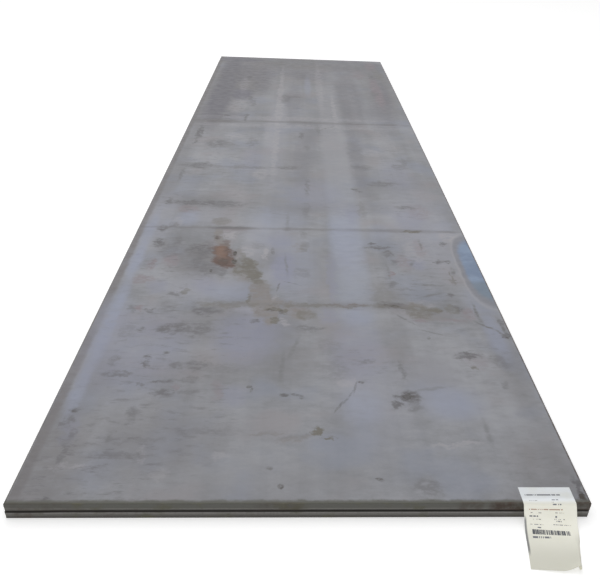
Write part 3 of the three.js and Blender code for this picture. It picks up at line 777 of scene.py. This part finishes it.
left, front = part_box("upper_plate")[0].xy
centre = (left + LENS_CENTRE[1] * MM, front + LENS_CENTRE[0] * MM, 0)
lens = recipe.vector("SUBTRACT", steady, centre)
halves = (LENS_HALVES[1] * MM, LENS_HALVES[0] * MM, 1)
shares = recipe.vector("ABSOLUTE", recipe.vector("DIVIDE", lens, halves))
shares = recipe.node("ShaderNodeSeparateXYZ", {"Vector": shares}, None).outputs
reach = [recipe.maths("POWER", shares[axis], LENS_POWER) for axis in ("X", "Y")]
reach = recipe.maths("POWER", recipe.maths("ADD", *reach), 1 / LENS_POWER)
cloud = recipe.noise(place, *LENS_CLOUDS, flat=True)
skin = recipe.mix(skin, LENS_BORDER, recipe.ramp(reach, *BORDER_COVER))
skin = recipe.mix(skin, LENS_RIM, recipe.ramp(reach, *RIM_REACH))
# painted reflection: the lens's blue sheen, darker at its near end
blue = recipe.mix(LENS_BLUE_SHEEN, LENS_BRIGHT_SHEEN, recipe.ramp(cloud, *CLOUD_REACH))
near_end = recipe.node("ShaderNodeSeparateXYZ", {"Vector": lens}, "Y")
darkening = recipe.ramp(near_end, LENS_END + LENS_END_BLUR, LENS_END - LENS_END_BLUR)
blue = recipe.mix(blue, LENS_DARK_SHEEN, darkening)
skin = recipe.mix(skin, blue, recipe.ramp(reach, *BLUE_REACH))

steel_shader(recipe, skin, scale["Roughness"], scale["Height"])

# Patches of rust on the labelled end: how far across the middle of each is and its half width,
# in mm, and how strongly it shows.
UPPER_LINE, UPPER_SEED = 12.5 * MM, 11
UPPER_LAND, UPPER_BROKEN, END_RUST = tint(106, 106, 101), tint(107, 106, 102), tint(76, 64, 56)
END_RUST_PATCHES = [(1300, 45, 0.9), (1200, 30, 0.5), (1505, 24, 0.8), (700, 60, 0.3), (70, 110, 0.25)]
END_RUSTS, END_RUST_COVER = (0.025, 4, 0.6), (0.35, 0.6, 0.3, 1)
RUST_OUTER, RUST_INNER = 1.4, 0.6  # shares of the half width, from none to full
upper_edge, recipe = new_material("upper sheared edge")
edge = sheared(recipe, UPPER_LINE, UPPER_LAND, UPPER_BROKEN)
place = recipe.node("ShaderNodeTexCoord", (), "Object")
across = recipe.node("ShaderNodeSeparateXYZ", {"Vector": place}, "X")
most = 0.0
for middle, half, strength in END_RUST_PATCHES:
    from_middle = recipe.maths("SUBTRACT", across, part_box("upper_plate")[0].x + middle * MM)
    from_middle = recipe.maths("ABSOLUTE", from_middle)
    reach = (RUST_OUTER * half * MM, RUST_INNER * half * MM)
    cover = recipe.ramp(from_middle, *reach, 0, strength)
    most = recipe.maths("MAXIMUM", most, cover)
rusty = recipe.ramp(recipe.noise(place, *END_RUSTS), *END_RUST_COVER)
steel = recipe.mix(edge["Colour"], END_RUST, recipe.maths("MULTIPLY", most, rusty))
steel_shader(recipe, steel, EDGE_ROUGHNESS, edge["Relief"])
upper_plate = new_piece("upper_plate_steel", plate_mesh("upper_plate", UPPER_SEED), upper_face, upper_edge)
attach(upper_plate, "root")
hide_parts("upper_plate")

# ------------------------------------------------------------------ lower plate
# The same plate again, cut on the same guillotine. The upper plate covers its top face, so only
# its edges show, with the seam between the two as a dark line.

lower_face, recipe = new_material("mill scale")
scale = scaled(recipe, recipe.node("ShaderNodeTexCoord", (), "Object"))
steel_shader(recipe, scale["Colour"], scale["Roughness"], scale["Height"])

LOWER_LINE, LOWER_SEED = 8.5 * MM, 12
LOWER_LAND, LOWER_BROKEN = tint(140, 138, 135), tint(101, 99, 96)
lower_edge, recipe = new_material("lower sheared edge")
edge = sheared(recipe, LOWER_LINE, LOWER_LAND, LOWER_BROKEN)
steel_shader(recipe, edge["Colour"], EDGE_ROUGHNESS, edge["Relief"])
lower_plate = new_piece("lower_plate_steel", plate_mesh("lower_plate", LOWER_SEED), lower_face, lower_edge)
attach(lower_plate, "root")
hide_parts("lower_plate")

# ------------------------------------------------------------------ stock label
# A sheet of white paper printed with a stock form, glued by its head to the upper plate. It bends
# over the plates' end and slopes to the floor, where its right side has rolled under and its far
# right corner has lifted.

LABEL_WIDTH, LABEL_LENGTH, PAPER = 142 * MM, 269 * MM, 0.3 * MM
GLUE = 0.1 * MM
IN_FROM_SIDE = 42 * MM
OVERLAP = 62 * MM
EDGE_BEND, FLOOR_BEND = 10 * MM, 80 * MM
HANG = np.radians(50)  # below the horizontal
SWING, SWING_RUN = np.radians(-8.6), 134 * MM
LIFT_OFF = 0.2 * MM
SIDE_ROLL, SIDE_ROLL_WIDTH = 5 * MM, 19 * MM
SIDE_ROLL_START, SIDE_ROLL_RUN = 48 * MM, 140 * MM  # the start counts from the plate's end
CORNER_CURL, CORNER_REACH = 35 * MM, 45 * MM
COLUMNS, ROWS = 96, 190


def path_place(distance, start_y, start_z):
    """The label's path from the side at distances along it, as y, z and its slope downwards.

    It is worked out stretch by stretch, each with its length and its bend, 1 / radius: a straight
    over the plate, a bend down by the hang angle, a straight down, a bend back and a straight
    along the floor.
    """
    drop = start_z - (LIFT_OFF + PAPER / 2)
    bends = (EDGE_BEND + FLOOR_BEND) * (1 - np.cos(HANG))
    stretches = [
        (OVERLAP - ROLL_RUN / 2, 0), (EDGE_BEND * HANG, 1 / EDGE_BEND),
        ((drop - bends) / np.sin(HANG), 0), (FLOOR_BEND * HANG, -1 / FLOOR_BEND), (1, 0),
    ]
    y, z, slope = start_y + 0 * distance, start_z + 0 * distance, 0 * distance
    for length, bend in stretches:
        run = np.clip(distance, 0, length)
        distance = distance - run
        if bend:
            ahead = slope + run * bend
            y = y - (np.sin(ahead) - np.sin(slope)) / bend
            z = z - (np.cos(slope) - np.cos(ahead)) / bend
            slope = ahead
        else:
            y = y - run * np.cos(slope)
            z = z - run * np.sin(slope)
    return y, z, slope


def curl_paper(across, along, height):
    """Moves points of the flat label. Its right side is rolled under, ever tighter, round a radius
    of SIDE_ROLL over a share that grows smoothly along it. The rest slopes up to the height of
    that roll. Its far right corner bends up round CORNER_CURL from a diagonal line on."""
    share = np.clip((along - OVERLAP - SIDE_ROLL_START) / SIDE_ROLL_RUN, 0, 1)
    radius = SIDE_ROLL / np.maximum(share * share * (3 - 2 * share), 1e-6)
    roll_start = LABEL_WIDTH / 2 - SIDE_ROLL_WIDTH
    rolled = np.maximum(across - roll_start, 0) / radius
    roll_height = radius * (1 - np.cos(np.minimum(SIDE_ROLL_WIDTH / radius, np.pi)))
    slope = np.minimum((across + LABEL_WIDTH / 2) / (roll_start + LABEL_WIDTH / 2), 1)
    under = rolled > 0
    across = np.where(under, roll_start + (radius + height) * np.sin(rolled), across)
    height = np.where(under, (radius + height) * np.cos(rolled) - radius, height)
    height = height + roll_height * slope

    reach = (across - LABEL_WIDTH / 2 + along - LABEL_LENGTH) / np.sqrt(2) + CORNER_REACH
    turned = np.maximum(reach, 0) / CORNER_CURL
    back = (np.maximum(reach, 0) - (CORNER_CURL - height) * np.sin(turned)) / np.sqrt(2)
    height = height + (CORNER_CURL - height) * (1 - np.cos(turned))
    return across - back, along - back, height


def swing_line(distance):
    """The heading and place of the label's centre line seen square to the paper: straight over
    the plate, then an arc that turns by SWING over SWING_RUN, then straight on."""
    turning = SWING_RUN / SWING
    heading = SWING * np.clip(distance - OVERLAP, 0, SWING_RUN) / SWING_RUN
    after = np.maximum(distance - OVERLAP - SWING_RUN, 0)
    x = turning * (1 - np.cos(heading)) + after * np.sin(heading)
    along = np.minimum(distance, OVERLAP) + turning * np.sin(heading) + after * np.cos(heading)
    return heading, x, along


def label_mesh():
    """The printed side and the back of the sheet on one grid, joined around the rim. Each point
    is curled, swung, and then set out square from the path."""
    low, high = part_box("upper_plate")
    right, front, top = high.x - CAMBER, low.y, high.z
    centre_x = right - IN_FROM_SIDE - LABEL_WIDTH / 2
    columns = np.linspace(-0.5, 0.5, COLUMNS) * LABEL_WIDTH
    rows = np.linspace(0, 1, ROWS) * LABEL_LENGTH
    sides = np.array([0.5, -0.5]) * PAPER
    height, along, across = np.meshgrid(sides, rows, columns, indexing="ij")
    flat_across, flat_along = across, along

    across, along, height = curl_paper(across, along, height)
    heading, swung_x, swung_along = swing_line(along)
    start_z = top + GLUE + PAPER / 2
    y, z, slope = path_place(swung_along - across * np.sin(heading), front + OVERLAP, start_z)
    x = centre_x + swung_x + across * np.cos(heading)
    points = np.stack([x, y - height * np.sin(slope), z + height * np.cos(slope)], axis=-1)

    grid = np.arange(height.size).reshape(height.shape)
    square = [grid[0, :-1, :-1], grid[0, 1:, :-1], grid[0, 1:, 1:], grid[0, :-1, 1:]]
    face = np.stack(square, axis=-1).reshape(-1, 4)
    back = face[:, ::-1] + grid[1, 0, 0]
    rim = np.concatenate([grid[0, :-1, 0], grid[0, -1, :-1], grid[0, :0:-1, -1], grid[0, 0, :0:-1]])
    ahead, below = np.roll(rim, -1), grid[1, 0, 0]
    cut = np.stack([rim, rim + below, ahead + below, ahead], axis=-1)
    faces = np.concatenate([face, back, cut])

    mesh = bpy.data.meshes.new("stock label")
    mesh.from_pydata(points.reshape(-1, 3), [], faces.tolist())
    on_face = np.arange(len(faces)) < len(face)
    mesh.polygons.foreach_set("material_index", np.where(on_face, 0, 1).astype(np.int32))
    mesh.polygons.foreach_set("use_smooth", np.arange(len(faces)) < 2 * len(face))
    sheet = np.stack([flat_across / LABEL_WIDTH + 0.5, 1 - flat_along / LABEL_LENGTH], axis=-1)
    uv = sheet.reshape(-1, 2)[faces.ravel()]
    mesh.uv_layers.new(name="sheet").data.foreach_set("uv", uv.ravel())
    return mesh


# A painted bluish-white highlight over the head, the paper's cream, and a darker cream that is painted
# shade towards the foot and uneven yellowing elsewhere.
PAPER_HIGHLIGHT, PAPER_CREAM, AGED_AND_SHADED_PAPER = tint(238, 242, 246), tint(234, 233, 222), tint(226, 225, 210)
PAPER_ROUGHNESS, PAPER_SPECULAR = 0.75, 0.25
INK, FADED_INK, PALE_INK = tint(88, 90, 96), tint(122, 124, 130), tint(156, 156, 156)
BROWN_INK = tint(172, 148, 134)
# Painted shade: a dark grey strip along the label's left edge, partway down the sheet.
LEFT_EDGE_SHADE, EDGE_SHADE_SIDE = tint(104, 106, 112), (7 * MM, 4 * MM)
EDGE_SHADE_START, EDGE_SHADE_END = (90 * MM, 110 * MM, 0, 0.8), (230 * MM, 200 * MM)  # from the head
HIGHLIGHT_END, FOOT_SHADE = (46 * MM, 66 * MM), (120 * MM, LABEL_LENGTH, 0, 0.6)  # from the head
AGED_AREAS, AGED_COVER = (0.05, 3), (0.4, 0.75, 0, 0.4)


def paper_finish(recipe, colour, light_through):
    """Finishes a paper material, with the light that comes through the sheet from behind."""
    sockets = {
        "Base Color": colour, "Roughness": PAPER_ROUGHNESS, "Specular IOR Level": PAPER_SPECULAR,
        "Emission Color": colour, "Emission Strength": light_through,
    }
    paper = recipe.node("ShaderNodeBsdfPrincipled", sockets)
    recipe.node("ShaderNodeOutputMaterial", {"Surface": paper}, None)


def paper_tone(recipe, from_head):
    """Paper with a painted bluish-white highlight over its head, cream below it, painted shade
    that darkens it towards its foot, and a little uneven yellowing.
    """
    place = recipe.node("ShaderNodeTexCoord", (), "Object")
    # painted highlight over the head, where the sheet lies on the plate
    paper = recipe.mix(PAPER_HIGHLIGHT, PAPER_CREAM, recipe.ramp(from_head, *HIGHLIGHT_END))
    # painted shade, darker towards the foot
    paper = recipe.mix(paper, AGED_AND_SHADED_PAPER, recipe.ramp(from_head, *FOOT_SHADE))
    aged = recipe.ramp(recipe.noise(place, *AGED_AREAS), *AGED_COVER)
    return recipe.mix(paper, AGED_AND_SHADED_PAPER, aged)


CHANCE_STEP = 100.5  # sets each line's strokes apart from the others'


def printed(recipe, sheet, lines, pitch):
    """Where there is ink: rows of strokes that stand for words. Each line has its distance down
    the sheet, its height, its left and right ends, all in mm, and the share of strokes in it.
    pitch is the width of a stroke, also in mm."""
    split = recipe.node("ShaderNodeSeparateXYZ", {"Vector": sheet}, None).outputs
    stroke = recipe.maths("FLOOR", recipe.maths("DIVIDE", split["X"], pitch * MM))
    ink = 0.0
    for number, (down, tall, left, right, share) in enumerate(lines):
        chance = recipe.node(
            "ShaderNodeTexWhiteNoise", {"W": recipe.maths("ADD", stroke, number * CHANCE_STEP)}, 0,
            noise_dimensions="1D",
        )
        there = recipe.maths("LESS_THAN", chance, share)
        off = recipe.maths("ABSOLUTE", recipe.maths("SUBTRACT", split["Y"], down * MM))
        there = recipe.maths("MULTIPLY", there, recipe.maths("LESS_THAN", off, tall / 2 * MM))
        there = recipe.maths("MULTIPLY", there, recipe.maths("GREATER_THAN", split["X"], left * MM))
        there = recipe.maths("MULTIPLY", there, recipe.maths("LESS_THAN", split["X"], right * MM))
        ink = recipe.maths("MAXIMUM", ink, there)
    return ink


HEADING = [(30, 5, 11, 107, 0.8)]
CODES = [
    (49, 3, 79, 98, 0.85), (65, 3.5, 78, 101, 0.85), (96, 4, 14, 38, 0.85), (96, 5, 83, 88, 1.0),
    (107, 3.5, 85, 99, 0.8), (126, 3.5, 34, 43, 0.9),
]
SMALL_PRINT = [
    (52, 2, 11, 39, 0.5), (58, 2, 72, 82, 0.5), (87, 2.5, 17, 24, 0.8), (87, 2.5, 38, 49, 0.7),
    (86, 2.5, 83, 107, 0.5), (104, 2.5, 22, 46, 0.6), (102, 2.5, 78, 109, 0.45),
    (118, 2.5, 13, 50, 0.55), (116, 2.5, 76, 124, 0.5),
]
RULE = [(78, 3, 13, 104, 0.75)]
STRIPES = [(139.5, 15, 19, 117, 0.68)]
STRIPE_NUMBER = [(157, 7, 18, 64, 0.72)]
WORD_STROKE, SMALL_STROKE, RULE_STROKE, STRIPE, NUMBER_STROKE = 2.2, 1.6, 2.6, 0.7, 2.4

printed_paper, recipe = new_material("printed label paper")
sheet = recipe.node("ShaderNodeUVMap", (), uv_map="sheet")
sheet = recipe.vector("MULTIPLY_ADD", sheet, (LABEL_WIDTH, -LABEL_LENGTH, 0), (0, LABEL_LENGTH, 0))
across, from_head = [
    recipe.node("ShaderNodeSeparateXYZ", {"Vector": sheet}, axis) for axis in ("X", "Y")
]
paper = paper_tone(recipe, from_head)
paper = recipe.mix(paper, FADED_INK, printed(recipe, sheet, HEADING + CODES, WORD_STROKE))
paper = recipe.mix(paper, PALE_INK, printed(recipe, sheet, SMALL_PRINT, SMALL_STROKE))
paper = recipe.mix(paper, BROWN_INK, printed(recipe, sheet, RULE, RULE_STROKE))
paper = recipe.mix(paper, INK, printed(recipe, sheet, STRIPES, STRIPE))
paper = recipe.mix(paper, FADED_INK, printed(recipe, sheet, STRIPE_NUMBER, NUMBER_STROKE))
# painted shade along the left edge, from about 90 mm below the head to near the foot
left_edge_shade = recipe.ramp(across, *EDGE_SHADE_SIDE)
left_edge_shade = recipe.maths("MULTIPLY", left_edge_shade, recipe.ramp(from_head, *EDGE_SHADE_START))
left_edge_shade = recipe.maths("MULTIPLY", left_edge_shade, recipe.ramp(from_head, *EDGE_SHADE_END))
paper = recipe.mix(paper, LEFT_EDGE_SHADE, left_edge_shade)

# Light comes through where the sheet hangs clear, most where it is steepest. It grows over two
# stretches down from the head and fades over two more, and the back has a little all over.
LIGHT_GROWS = ((36 * MM, 50 * MM, 0, 0.12), (60 * MM, 70 * MM, 0, 0.20))
LIGHT_FADES = ((105 * MM, 165 * MM, 1, 0.3), (165 * MM, 240 * MM, 1, 0))
BACK_LIGHT = 0.2
lit, more = [recipe.ramp(from_head, *stretch) for stretch in LIGHT_GROWS]
lit = recipe.maths("ADD", lit, more)
for stretch in LIGHT_FADES:
    lit = recipe.maths("MULTIPLY", lit, recipe.ramp(from_head, *stretch))
paper_finish(recipe, paper, lit)

plain_paper, recipe = new_material("label paper")
paper_finish(recipe, PAPER_CREAM, BACK_LIGHT)

stock_label = new_piece("stock_label_paper", label_mesh(), printed_paper, plain_paper)
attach(stock_label, "root")
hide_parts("stock_label")

# ------------------------------------------------------------------ update
bpy.context.view_layer.update()
